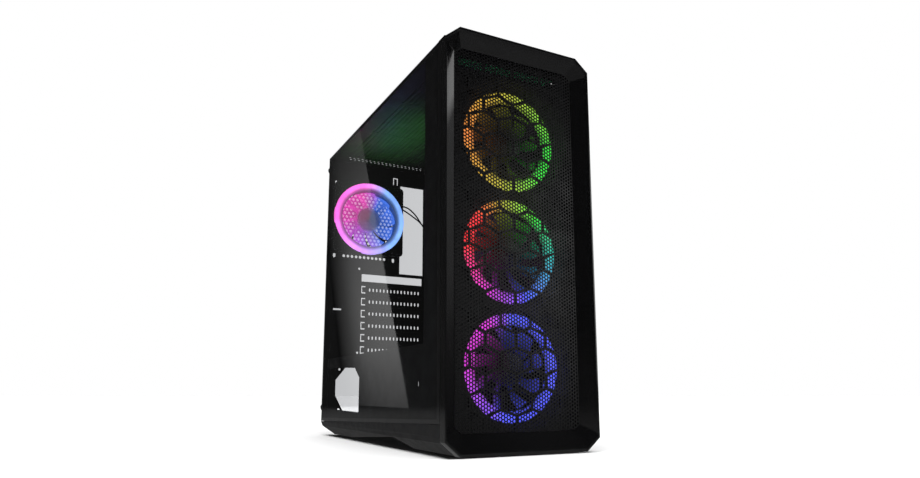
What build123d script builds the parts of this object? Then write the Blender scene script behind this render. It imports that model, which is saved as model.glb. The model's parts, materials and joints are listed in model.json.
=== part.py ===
"""Midi-tower computer case, sold empty: an octagonal front bezel with a recessed mesh panel, a clear
left side panel, three lit front fans and one lit rear fan.

Frame: +Z up, the front faces -Y, +X is to the right seen from the front. The origin is the centre of the
case's footprint, at the underside of the rubber feet. Units are millimetres. "depth" values count back
from the front of the bezel, and the helper y_at turns one into a Y coordinate.
"""
from build123d import *
import math
import os

# ---------------------------------------------------------------- driving dimensions
WIDTH = 196.0                 # over both side panels
CASE_DEPTH = 449.0            # bezel front to the rear flanges of the side panels
BEZEL_HEIGHT = 472.0
PAD_HEIGHT = 1.5              # rubber pads under the base rails
SCREW_HEAD_LENGTH = 11.0      # thumbscrew heads stand behind the rear flanges
SHEET = 1.0                   # steel sheet

HALF = WIDTH / 2
TOTAL_DEPTH = CASE_DEPTH + SCREW_HEAD_LENGTH
FRONT_Y = -TOTAL_DEPTH / 2

# chassis box, inside the two side panels
CHASSIS_HALF = 94.0
FLOOR_TOP = 21.5
ROOF_UNDER = 458.5
ROOF_TOP = ROOF_UNDER + SHEET
PLATE_DEPTH = 28.0            # front face of the steel front plate
REAR_INNER_DEPTH = 445.5
REAR_OUTER_DEPTH = REAR_INNER_DEPTH + SHEET
ROOF_FRONT_DEPTH = 46.5
COLUMN_END_DEPTH = 63.0       # the front plate's side columns, seen through the glass
SHROUD_FRONT_DEPTH = 66.0
SHROUD_TOP = 120.4
SHROUD_LEFT = -92.0
TRAY_X = 80.0                 # motherboard tray, left face

# bezel
BEZEL_BOTTOM = PAD_HEIGHT
BEZEL_TOP = BEZEL_BOTTOM + BEZEL_HEIGHT
CORNER_X, CORNER_Z = 18.0, 15.0
BEZEL_WALL_DEPTH = 12.0
LIP_DEPTH = 2.5
RECESS_DEPTH = 13.5           # front face of the mesh panel
RECESS_HALF = 80.0
RECESS_BOTTOM, RECESS_TOP = 24.0, 456.0
POCKET_HALF = 84.0            # groove of the mesh, and pocket of the grille behind it
POCKET_BOTTOM, POCKET_TOP = 22.2, 458.0
LEDGE_DEPTHS = (14.4, 25.4)   # between the two
LEDGE_STEP = 0.8
COLLAR_END_DEPTH = 27.8

# fans: 120 mm frames, 25 mm thick
FAN_SIZE = 120.0
FAN_DEPTH = 25.0
FAN_HOLE_PITCH = 105.0
FAN_BORE_R = 50.0
RING_OUTER_R = 61.2
RING_INNER_R = 48.2
RING_THICK = 4.0
HUB_R = 20.5
BLADE_TIP_R = 47.6
BLADES = 9
OPENING_R = 61.7
FRONT_FAN_PITCH = 133.5
FRONT_FAN_Z = [94.0 + FRONT_FAN_PITCH * i for i in range(3)]
FAN_NAMES = ["lower", "middle", "upper"]
REAR_FAN_X, REAR_FAN_Z = -33.3, 355.8

# rear panel, to the ATX layout
SLOT_PITCH = 20.32
SLOT_HEIGHT = 12.7
SLOT_LEFT, SLOT_RIGHT = -37.0, 74.0
OPEN_SLOT_Z = 258.4
COVER_Z = [OPEN_SLOT_Z - SLOT_PITCH * (i + 1) for i in range(6)]
IO_WIDTH, IO_HEIGHT = 44.45, 158.75
IO_LEFT, IO_BOTTOM = 31.2, 270.2
PSU_LEFT, PSU_RIGHT = -77.0, 73.0
PSU_BOTTOM, PSU_TOP = 26.0, 106.8
PSU_HOLE_X, PSU_HOLE_Z = 138.0, 64.0
THUMB_X = 91.3
THUMB_Z = [43.0, 442.0]

# motherboard standoffs, ATX hole grid: depth from the front, height
STANDOFF_DEPTHS = [427.5 - s for s in (0, 154.94, 227.33)]
STANDOFF_HEIGHTS = [422.8 - s for s in (0, 157.48, 281.94)]
STANDOFF_GRID = [(depth, z) for depth in STANDOFF_DEPTHS for z in STANDOFF_HEIGHTS]
CENTRE_STANDOFF = (STANDOFF_DEPTHS[1], STANDOFF_HEIGHTS[1])   # holds the board by a plain pin
STANDOFF_LENGTH = 6.5
BOARD_THREAD_R = 1.4

# top input deck, on the bezel
DECK_HALF = 93.8
DECK_UNDER = 459.8
DECK_SHOULDER = 464.5         # the deck's ends slope in above this height
DECK_TOP_HALF = 87.5
DECK_TOP = 469.5
DECK_HOLLOW_HALF = 86.0
NOTCH_HALF = 68.0             # cut in the front plate for the input board
DECK_WALL = 2.5
DECK_END_DEPTH = 46.0
BOARD_Z = 452.0
BOARD_THICK = 1.6
POWER_X, RESET_X, LIGHT_X = -50.0, -32.0, -20.0
POWER_R, SMALL_BUTTON_R = 5.8, 2.9
AUDIO_X = [-6.0, 6.0]
USB_X = [26.0, 48.0]
DECK_CENTRE_DEPTH = 36.0


def y_at(depth):
    """Y coordinate of a depth behind the front of the bezel."""
    return FRONT_Y + depth


def block(x, y, z, mode=Mode.ADD):
    """Box between three (low, high) pairs, in the part being built."""
    with Locations(((x[0] + x[1]) / 2, (y[0] + y[1]) / 2, (z[0] + z[1]) / 2)):
        Box(x[1] - x[0], y[1] - y[0], z[1] - z[0], mode=mode)


def depth_block(x, depths, z, mode=Mode.ADD):
    """Box whose Y range is given as depths behind the front of the bezel."""
    block(x, (y_at(depths[0]), y_at(depths[1])), z, mode)


def rod_y(x, z, radius, depths, mode=Mode.ADD):
    """Cylinder along Y between two depths."""
    with Locations((x, y_at((depths[0] + depths[1]) / 2), z)):
        Cylinder(radius, depths[1] - depths[0], rotation=(90, 0, 0), mode=mode)


def wall_plane(depth):
    """Sketch plane facing the front: local x is X and local y is Z."""
    return Plane(origin=(0, y_at(depth), 0), x_dir=(1, 0, 0), z_dir=(0, -1, 0))


def side_plane(x):
    """Sketch plane facing -X: local x is -Y and local y is Z."""
    return Plane(origin=(x, 0, 0), x_dir=(0, -1, 0), z_dir=(-1, 0, 0))


def side_points(points):
    """(depth, z) pairs as local points of side_plane."""
    return [(-y_at(depth), z) for depth, z in points]


def octagon(half, low, high, cut_x, cut_z):
    """Eight corners of a rectangle with cut corners."""
    return [
        (-half + cut_x, low),
        (half - cut_x, low),
        (half, low + cut_z),
        (half, high - cut_z),
        (half - cut_x, high),
        (-half + cut_x, high),
        (-half, high - cut_z),
        (-half, low + cut_z),
    ]


def keep(part, name):
    """Label a finished piece and write its file."""
    part.part.label = name
    export_step(part.part, f"parts/{name}.step")


os.makedirs("parts", exist_ok=True)

# ---------------------------------------------------------------- front bezel
BEZEL_OUTLINE = octagon(HALF, BEZEL_BOTTOM, BEZEL_TOP, CORNER_X, CORNER_Z)
LIP_FRONT = octagon(HALF - 1.6, BEZEL_BOTTOM + 3.0, BEZEL_TOP - 3.0, CORNER_X - 1.6, CORNER_Z - 1)
LIP_INNER = octagon(HALF - 3.0, BEZEL_BOTTOM + 6.5, BEZEL_TOP - 6.5, CORNER_X - 3.0, CORNER_Z - 1)
RECESS_OUTLINE = octagon(RECESS_HALF, RECESS_BOTTOM, RECESS_TOP, 8.0, 7.0)
CLIP_X = 86.2
CLIP_Z = [60.0, 240.0, 420.0]

with BuildPart() as front_bezel:
    with BuildSketch(wall_plane(BEZEL_WALL_DEPTH)):
        Polygon(*BEZEL_OUTLINE, align=None)
    extrude(amount=BEZEL_WALL_DEPTH)
    depth_block((-93.8, 93.8), (BEZEL_WALL_DEPTH, COLLAR_END_DEPTH), (21.0, 466.0))
    # top deck with the buttons and sockets, hollow underneath
    with BuildSketch(wall_plane(DECK_END_DEPTH)):
        Polygon((-DECK_HALF, DECK_UNDER), (DECK_HALF, DECK_UNDER), (DECK_HALF, DECK_SHOULDER),
                (DECK_TOP_HALF, DECK_TOP), (-DECK_TOP_HALF, DECK_TOP), (-DECK_HALF, DECK_SHOULDER),
                align=None)
    extrude(amount=DECK_END_DEPTH - BEZEL_WALL_DEPTH)
    depth_block((-DECK_HOLLOW_HALF, DECK_HOLLOW_HALF), (COLLAR_END_DEPTH, DECK_END_DEPTH - DECK_WALL),
                (DECK_UNDER, DECK_TOP - DECK_WALL), Mode.SUBTRACT)
    # sloping funnel down to the mesh, then the pocket that holds mesh and grille
    with BuildSketch(wall_plane(0)):
        Polygon(*LIP_FRONT, align=None)
    with BuildSketch(wall_plane(LIP_DEPTH)):
        Polygon(*LIP_INNER, align=None)
    loft(mode=Mode.SUBTRACT)
    with BuildSketch(wall_plane(LIP_DEPTH)):
        Polygon(*LIP_INNER, align=None)
    with BuildSketch(wall_plane(RECESS_DEPTH)):
        Polygon(*RECESS_OUTLINE, align=None)
    loft(mode=Mode.SUBTRACT)
    for depths in ((RECESS_DEPTH, LEDGE_DEPTHS[0]), (LEDGE_DEPTHS[1], COLLAR_END_DEPTH + 1)):
        depth_block((-POCKET_HALF, POCKET_HALF), depths, (POCKET_BOTTOM, POCKET_TOP), Mode.SUBTRACT)
    depth_block((-RECESS_HALF - LEDGE_STEP, RECESS_HALF + LEDGE_STEP), LEDGE_DEPTHS,
                (RECESS_BOTTOM - LEDGE_STEP, RECESS_TOP + LEDGE_STEP), Mode.SUBTRACT)
    # openings in the deck
    for x, radius in ((POWER_X, POWER_R), (RESET_X, SMALL_BUTTON_R), (LIGHT_X, SMALL_BUTTON_R)):
        with Locations((x, y_at(DECK_CENTRE_DEPTH), DECK_TOP - 1)):
            Cylinder(radius + 0.3, 6, mode=Mode.SUBTRACT)
    for x in AUDIO_X:
        with Locations((x, y_at(DECK_CENTRE_DEPTH), DECK_TOP - 1)):
            Cylinder(3.2, 6, mode=Mode.SUBTRACT)
    for x in USB_X:
        block((x - 7.3, x + 7.3), (y_at(DECK_CENTRE_DEPTH) - 3.7, y_at(DECK_CENTRE_DEPTH) + 3.7),
              (DECK_TOP - 4, DECK_TOP + 1), Mode.SUBTRACT)
    # posts that carry the input board, and the snap clips
    for x in (-62.0, 62.0):
        with Locations((x, y_at(DECK_CENTRE_DEPTH), 460.3)):
            Cylinder(2.5, 13.4)
    for x in (-CLIP_X, CLIP_X):
        for z in CLIP_Z:
            depth_block((x - 2, x + 2), (COLLAR_END_DEPTH - 6, 35.0), (z - 3, z + 3))
            side = 1 if x > 0 else -1
            inner = sorted((x - side * 2, x - side * 3.2))
            depth_block(tuple(inner), (30.5, 33.5), (z - 3, z + 3))
keep(front_bezel, "front_bezel")

with BuildPart() as front_mesh:
    depth_block((-POCKET_HALF + 0.3, POCKET_HALF - 0.3), (RECESS_DEPTH, RECESS_DEPTH + 0.8),
                (POCKET_BOTTOM + 0.2, POCKET_TOP - 0.3))
keep(front_mesh, "front_mesh")

# ---------------------------------------------------------------- honeycomb grille behind the mesh
GRILLE_FRONT, GRILLE_BACK = 25.5, 27.5
HONEYCOMB_HALF = 80.8
HONEYCOMB_BOTTOM, HONEYCOMB_TOP = 26.0, 454.0
CELL_PITCH_X = 39.8
CELL_ROW = 22.95
CELL_WALL = 3.0
CELL_ORIGIN = (4.4, 55.9)
CELL_HALF = (CELL_PITCH_X - CELL_WALL) / 2
CELL_TIP = 13.55              # half height at the pointed ends
CELL_SHOULDER = 6.73          # half length of the upright sides
SCREW_HEAD_R = 3.6
SCREW_HEAD_HEIGHT = 2.2
FAN_CORNERS = [(sx * FAN_HOLE_PITCH / 2, sz * FAN_HOLE_PITCH / 2) for sx in (-1, 1) for sz in (-1, 1)]


def honeycomb_centres():
    """Cell centres over the whole panel, every second row shifted by half a cell."""
    centres = []
    for row in range(-2, 19):
        shift = CELL_PITCH_X / 2 if row % 2 else 0.0
        for column in range(-3, 3):
            centres.append((CELL_ORIGIN[0] + CELL_PITCH_X * column + shift,
                            CELL_ORIGIN[1] + CELL_ROW * row))
    return centres


with BuildPart() as front_grille:
    depth_block((-POCKET_HALF + 0.3, POCKET_HALF - 0.3), (GRILLE_FRONT, GRILLE_BACK),
                (POCKET_BOTTOM + 0.2, POCKET_TOP - 0.3))
    with BuildSketch(wall_plane(GRILLE_BACK + 1)):
        with Locations(*honeycomb_centres()):
            Polygon((0, CELL_TIP), (CELL_HALF, CELL_SHOULDER), (CELL_HALF, -CELL_SHOULDER),
                    (0, -CELL_TIP), (-CELL_HALF, -CELL_SHOULDER), (-CELL_HALF, CELL_SHOULDER),
                    align=None)
        with Locations((0, (HONEYCOMB_BOTTOM + HONEYCOMB_TOP) / 2)):
            Rectangle(2 * HONEYCOMB_HALF, HONEYCOMB_TOP - HONEYCOMB_BOTTOM, mode=Mode.INTERSECT)
    extrude(amount=4, mode=Mode.SUBTRACT)
    # room for the heads of the fan screws
    for z in FRONT_FAN_Z:
        for dx, dz in FAN_CORNERS:
            rod_y(dx, z + dz, SCREW_HEAD_R + 0.8, (GRILLE_FRONT - 1, GRILLE_BACK + 1), Mode.SUBTRACT)
keep(front_grille, "front_grille")

# ---------------------------------------------------------------- input deck: buttons, board, sockets
DECK_Y = y_at(DECK_CENTRE_DEPTH)
BOARD_TOP = BOARD_Z + BOARD_THICK
BUTTON_TRAVEL = 1.5


def make_button(name, x, radius, crown):
    """A round cap held under the deck by its flange, with a stem over its switch."""
    with BuildPart() as button:
        with Locations((x, DECK_Y, (464.8 + DECK_TOP + crown) / 2)):
            Cylinder(radius, DECK_TOP + crown - 464.8)
        with Locations((x, DECK_Y, 465.6)):
            Cylinder(radius + 1.4, 1.6)
        with Locations((x, DECK_Y, 462.4)):
            Cylinder(1.5, 5.2)
        fillet(button.edges().filter_by(GeomType.CIRCLE).sort_by(Axis.Z)[-1], 0.5)
    keep(button, name)


make_button("power_button", POWER_X, POWER_R, 1.2)
make_button("reset_button", RESET_X, SMALL_BUTTON_R, 0.9)
make_button("light_button", LIGHT_X, SMALL_BUTTON_R, 0.9)

with BuildPart() as input_board:
    block((-66, 66), (DECK_Y - 6.5, DECK_Y + 6.5), (BOARD_Z, BOARD_TOP))
keep(input_board, "input_board")

with BuildPart() as input_switches:
    for x in (POWER_X, RESET_X, LIGHT_X):
        block((x - 3, x + 3), (DECK_Y - 3, DECK_Y + 3), (BOARD_TOP, BOARD_TOP + 3.4))
        with Locations((x, DECK_Y, BOARD_TOP + 3.9)):
            Cylinder(1.6, 1.0)
keep(input_switches, "input_switches")

with BuildPart() as usb_sockets:
    for x in USB_X:
        block((x - 7.0, x + 7.0), (DECK_Y - 3.4, DECK_Y + 3.4), (BOARD_TOP, DECK_TOP - 0.3))
        block((x - 6.5, x + 6.5), (DECK_Y - 2.9, DECK_Y + 2.9), (BOARD_TOP + 3, DECK_TOP + 1),
              Mode.SUBTRACT)
keep(usb_sockets, "usb_sockets")

with BuildPart() as audio_sockets:
    for x in AUDIO_X:
        block((x - 3.5, x + 3.5), (DECK_Y - 3.5, DECK_Y + 3.5), (BOARD_TOP, 466.6))
        with Locations((x, DECK_Y, 467.8)):
            Cylinder(3.0, 3.0)
        with Locations((x, DECK_Y, 464.0)):
            Cylinder(1.8, 12.0, mode=Mode.SUBTRACT)
keep(audio_sockets, "audio_sockets")

# ---------------------------------------------------------------- steel chassis
FAN_SCREW_HOLE_R = 2.2
RAIL_SCREW_X = 70.0
RAIL_SCREW_DEPTHS = [60.0, 400.0]
RAIL_SCREW_R = 1.7

with BuildPart() as front_plate:
    depth_block((-CHASSIS_HALF, CHASSIS_HALF), (PLATE_DEPTH, PLATE_DEPTH + SHEET),
                (FLOOR_TOP - SHEET, ROOF_UNDER))
    for sign in (-1, 1):
        edges = sorted((sign * CHASSIS_HALF, sign * (CHASSIS_HALF - SHEET)))
        depth_block(tuple(edges), (PLATE_DEPTH + SHEET, COLUMN_END_DEPTH), (36.0, ROOF_UNDER))
    depth_block((-NOTCH_HALF, NOTCH_HALF), (PLATE_DEPTH - 1, PLATE_DEPTH + 2), (440.0, ROOF_UNDER + 1),
                Mode.SUBTRACT)
    for z in FRONT_FAN_Z:
        rod_y(0, z, OPENING_R, (PLATE_DEPTH - 1, PLATE_DEPTH + 2), Mode.SUBTRACT)
        for dx, dz in FAN_CORNERS:
            rod_y(dx, z + dz, FAN_SCREW_HOLE_R, (PLATE_DEPTH - 1, PLATE_DEPTH + 2), Mode.SUBTRACT)
    for x in (-CLIP_X, CLIP_X):
        for z in CLIP_Z:
            depth_block((x - 3.7, x + 3.7), (PLATE_DEPTH - 1, PLATE_DEPTH + 2), (z - 3.7, z + 3.7),
                        Mode.SUBTRACT)
keep(front_plate, "front_plate")

FLOOR_VENT_PITCH = 6.0
with BuildPart() as floor_plate:
    depth_block((-CHASSIS_HALF, CHASSIS_HALF), (PLATE_DEPTH + SHEET, REAR_INNER_DEPTH),
                (FLOOR_TOP - SHEET, FLOOR_TOP))
    for column in range(-9, 10):
        x = column * FLOOR_VENT_PITCH
        for depths in ((305, 362), (368, 425)):
            depth_block((x - 1.6, x + 1.6), depths, (FLOOR_TOP - 3, FLOOR_TOP + 1), Mode.SUBTRACT)
    for x in (-RAIL_SCREW_X, RAIL_SCREW_X):
        for depth in RAIL_SCREW_DEPTHS:
            with Locations((x, y_at(depth), FLOOR_TOP)):
                Cylinder(RAIL_SCREW_R + 0.2, 4, mode=Mode.SUBTRACT)
keep(floor_plate, "floor_plate")

# roof: rows of slots along the depth, then two staggered rows of round holes at the rear
ROOF_SLOT_PITCH = 6.4
ROOF_SLOTS = 23
ROOF_VENT_CENTRE = -3.0
ROOF_BANDS = ((74, 184), (190, 300), (306, 414))
ROOF_ROW_DEPTHS = (424.5, 431.5)
ROOF_HOLE_PITCH = 7.2

with BuildPart() as roof_plate:
    depth_block((-CHASSIS_HALF, CHASSIS_HALF), (ROOF_FRONT_DEPTH, REAR_OUTER_DEPTH), (ROOF_UNDER, ROOF_TOP))
    for column in range(ROOF_SLOTS):
        x = ROOF_VENT_CENTRE + (column - (ROOF_SLOTS - 1) / 2) * ROOF_SLOT_PITCH
        for depths in ROOF_BANDS:
            depth_block((x - 1.6, x + 1.6), depths, (ROOF_UNDER - 1, ROOF_TOP + 1), Mode.SUBTRACT)
    for row, depth in enumerate(ROOF_ROW_DEPTHS):
        for column in range(-9, 10):
            x = ROOF_VENT_CENTRE + (column + row / 2 - 0.25) * ROOF_HOLE_PITCH
            with Locations((x, y_at(depth), ROOF_UNDER)):
                Cylinder(2.2, 6, mode=Mode.SUBTRACT)
keep(roof_plate, "roof_plate")

# rear panel
GRILLE_HOLE_R = 2.4
GRILLE_PITCH = 7.2
GRILLE_ROW = GRILLE_PITCH * math.sqrt(3) / 2


def rear_grille_points():
    """Hole centres of the rear fan grille: a hexagonal grid inside an octagon."""
    points = []
    for row in range(-10, 11):
        shift = GRILLE_PITCH / 2 if row % 2 else 0.0
        for column in range(-9, 10):
            dx = column * GRILLE_PITCH + shift
            dz = row * GRILLE_ROW
            if abs(dx) <= 54 and abs(dz) <= 63 and abs(dx) + abs(dz) <= 99:
                points.append((REAR_FAN_X + dx, REAR_FAN_Z + dz))
    return points


GRILLE_OUTLINE = octagon(57.0, -66.5, 66.5, 17.0, 26.5)
PSU_CENTRE_X = (PSU_LEFT + PSU_RIGHT) / 2
PSU_HOLE_TOP_Z = 104.0
FAN_SLOT_LENGTH = 12.0        # between the end centres of the fan's mounting slots

with BuildPart() as rear_plate:
    depth_block((-CHASSIS_HALF, CHASSIS_HALF), (REAR_INNER_DEPTH, REAR_OUTER_DEPTH),
                (FLOOR_TOP - SHEET, ROOF_UNDER))
    with BuildSketch(wall_plane(REAR_OUTER_DEPTH + 1)):
        with Locations((IO_LEFT + IO_WIDTH / 2, IO_BOTTOM + IO_HEIGHT / 2)):
            Rectangle(IO_WIDTH, IO_HEIGHT)
        for z in [OPEN_SLOT_Z] + COVER_Z:
            with Locations(((SLOT_LEFT + SLOT_RIGHT) / 2, z)):
                Rectangle(SLOT_RIGHT - SLOT_LEFT, SLOT_HEIGHT)
        Polygon((PSU_LEFT + 19, PSU_BOTTOM), (PSU_RIGHT - 19, PSU_BOTTOM), (PSU_RIGHT, PSU_BOTTOM + 36),
                (PSU_RIGHT, PSU_TOP - 20), (PSU_RIGHT - 16, PSU_TOP), (PSU_LEFT + 16, PSU_TOP),
                (PSU_LEFT, PSU_TOP - 20), (PSU_LEFT, PSU_BOTTOM + 36), align=None)
        with Locations((-78.0, 202.4)):
            Rectangle(14.0, 3.0)
        # a lanced tab above the input panel cut-out
        for dx in (-3.6, 3.6):
            with Locations((21.6 + dx, 436.0)):
                Rectangle(1.8, 13.0)
        with Locations((21.6, 441.6)):
            Rectangle(9.0, 1.8)
        with Locations((REAR_FAN_X, REAR_FAN_Z)):
            Polygon(*GRILLE_OUTLINE, align=None)
    extrude(amount=4, mode=Mode.SUBTRACT)
    with BuildSketch(wall_plane(REAR_OUTER_DEPTH + 1)):
        for dx, dz in FAN_CORNERS:
            shift = FAN_SLOT_LENGTH / 2 if dz > 0 else -FAN_SLOT_LENGTH / 2
            with Locations((REAR_FAN_X + dx, REAR_FAN_Z + dz + shift)):
                SlotCenterToCenter(FAN_SLOT_LENGTH, 2 * FAN_SCREW_HOLE_R, rotation=90)
        for z in (273.4, 131.8):
            with Locations((-41.5, z)):
                Circle(1.9)
        for dx in (-PSU_HOLE_X / 2, PSU_HOLE_X / 2):
            for dz in (0, -PSU_HOLE_Z):
                with Locations((PSU_CENTRE_X + dx, PSU_HOLE_TOP_Z + dz)):
                    Circle(1.9)
        for x in (-THUMB_X, THUMB_X):
            for z in THUMB_Z:
                with Locations((x, z)):
                    Circle(1.75)
    extrude(amount=4, mode=Mode.SUBTRACT)
keep(rear_plate, "rear_plate")

# perforated insert over the rear fan, flush in the rear panel's octagonal opening
with BuildPart() as rear_grille:
    with BuildSketch(wall_plane(REAR_OUTER_DEPTH)):
        with Locations((REAR_FAN_X, REAR_FAN_Z)):
            Polygon(*GRILLE_OUTLINE, align=None)
        with Locations(*rear_grille_points()):
            Circle(GRILLE_HOLE_R, mode=Mode.SUBTRACT)
    extrude(amount=SHEET)
keep(rear_grille, "rear_grille")

# six slot covers, inside the rear panel; each ends in a narrow tongue
COVER_HOLES = 15
COVER_FIRST_X = -22.5
COVER_HOLE_PITCH = 6.41
with BuildPart() as slot_covers:
    for z in COVER_Z:
        depth_block((-30.0, 78.0), (REAR_INNER_DEPTH - SHEET, REAR_INNER_DEPTH), (z - 8.0, z + 8.0))
        depth_block((-35.6, -30.0), (REAR_INNER_DEPTH - SHEET, REAR_INNER_DEPTH), (z - 4.3, z + 4.3))
    with BuildSketch(wall_plane(REAR_INNER_DEPTH + 1)):
        for z in COVER_Z:
            centres = [(COVER_FIRST_X + COVER_HOLE_PITCH * i, z) for i in range(COVER_HOLES)]
            with Locations(*centres):
                SlotCenterToCenter(3.1, 2.5, rotation=90)
    extrude(amount=4, mode=Mode.SUBTRACT)
keep(slot_covers, "slot_covers")

# motherboard tray with its processor cut-out and cable slots
CABLE_SLOTS_Z = (190.0, 290.0, 390.0)
CABLE_SLOT_DEPTH = 170.0
CABLE_SLOT_SIZE = (22.0, 60.0)
LEAD_HOLE = (428.0, 344.0)    # depth and height of the fan leads' hole
CPU_DEPTHS = (290.0, 410.0)
CPU_HEIGHTS = (290.0, 410.0)
with BuildPart() as motherboard_tray:
    depth_block((TRAY_X, TRAY_X + SHEET), (95.0, REAR_INNER_DEPTH), (SHROUD_TOP, ROOF_UNDER))
    with BuildSketch(side_plane(TRAY_X + 2)):
        with Locations((-y_at(sum(CPU_DEPTHS) / 2), sum(CPU_HEIGHTS) / 2)):
            Rectangle(CPU_DEPTHS[1] - CPU_DEPTHS[0], CPU_HEIGHTS[1] - CPU_HEIGHTS[0])
        for z in CABLE_SLOTS_Z:
            with Locations((-y_at(CABLE_SLOT_DEPTH), z)):
                Rectangle(*CABLE_SLOT_SIZE)
        for depth, z in STANDOFF_GRID:
            if (depth, z) != CENTRE_STANDOFF:
                with Locations((-y_at(depth), z)):
                    Circle(BOARD_THREAD_R)
        with Locations((-y_at(LEAD_HOLE[0]), LEAD_HOLE[1])):
            Circle(5.0)
    extrude(amount=4, mode=Mode.SUBTRACT)
keep(motherboard_tray, "motherboard_tray")

with BuildPart() as standoffs:
    for depth, z in STANDOFF_GRID:
        base = Plane(origin=(TRAY_X, y_at(depth), z), x_dir=(0, 1, 0), z_dir=(-1, 0, 0))
        with BuildSketch(base):
            RegularPolygon(2.9, 6)
            if (depth, z) != CENTRE_STANDOFF:
                Circle(BOARD_THREAD_R, mode=Mode.SUBTRACT)
        extrude(amount=STANDOFF_LENGTH)
        if (depth, z) == CENTRE_STANDOFF:
            with BuildSketch(base):
                Circle(1.7)
            extrude(amount=STANDOFF_LENGTH + 2.5)
keep(standoffs, "standoffs")

# rubber frames clipped into the cable slots: a flange on each side of the sheet
with BuildPart() as cable_grommets:
    for z in CABLE_SLOTS_Z:
        y = y_at(CABLE_SLOT_DEPTH)
        half_y, half_z = CABLE_SLOT_SIZE[0] / 2, CABLE_SLOT_SIZE[1] / 2
        for x_pair in ((TRAY_X - 1.4, TRAY_X), (TRAY_X + SHEET, TRAY_X + SHEET + 1.4)):
            block(x_pair, (y - half_y - 2, y + half_y + 2), (z - half_z - 2, z + half_z + 2))
        block((TRAY_X, TRAY_X + SHEET), (y - half_y, y + half_y), (z - half_z, z + half_z))
        block((TRAY_X - 2, TRAY_X + 3), (y - half_y + 2, y + half_y - 2),
              (z - half_z + 2, z + half_z - 2), Mode.SUBTRACT)
keep(cable_grommets, "cable_grommets")

# power supply shroud: one bent sheet, open at the rear window
with BuildPart() as psu_shroud:
    depth_block((SHROUD_LEFT, TRAY_X + SHEET), (SHROUD_FRONT_DEPTH, REAR_INNER_DEPTH),
                (SHROUD_TOP - SHEET, SHROUD_TOP))
    depth_block((SHROUD_LEFT, SHROUD_LEFT + SHEET), (SHROUD_FRONT_DEPTH, 440.0),
                (FLOOR_TOP, SHROUD_TOP - SHEET))
    with BuildSketch(side_plane(SHROUD_LEFT + 3)):
        Polygon(*side_points([(285, 39.5), (285, 87.4), (305, 101.5), (310, 104), (436, 104), (436, 41.5)]),
                align=None)
        with Locations((-y_at(81.0), 76.0)):
            SlotCenterToCenter(4.0, 3.0, rotation=90)
    extrude(amount=6, mode=Mode.SUBTRACT)
    for column in range(-5, 6):
        depth_block((column * 9.0 - 2.0, column * 9.0 + 2.0), (300, 400),
                    (SHROUD_TOP - 3, SHROUD_TOP + 1), Mode.SUBTRACT)
keep(psu_shroud, "psu_shroud")

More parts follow.
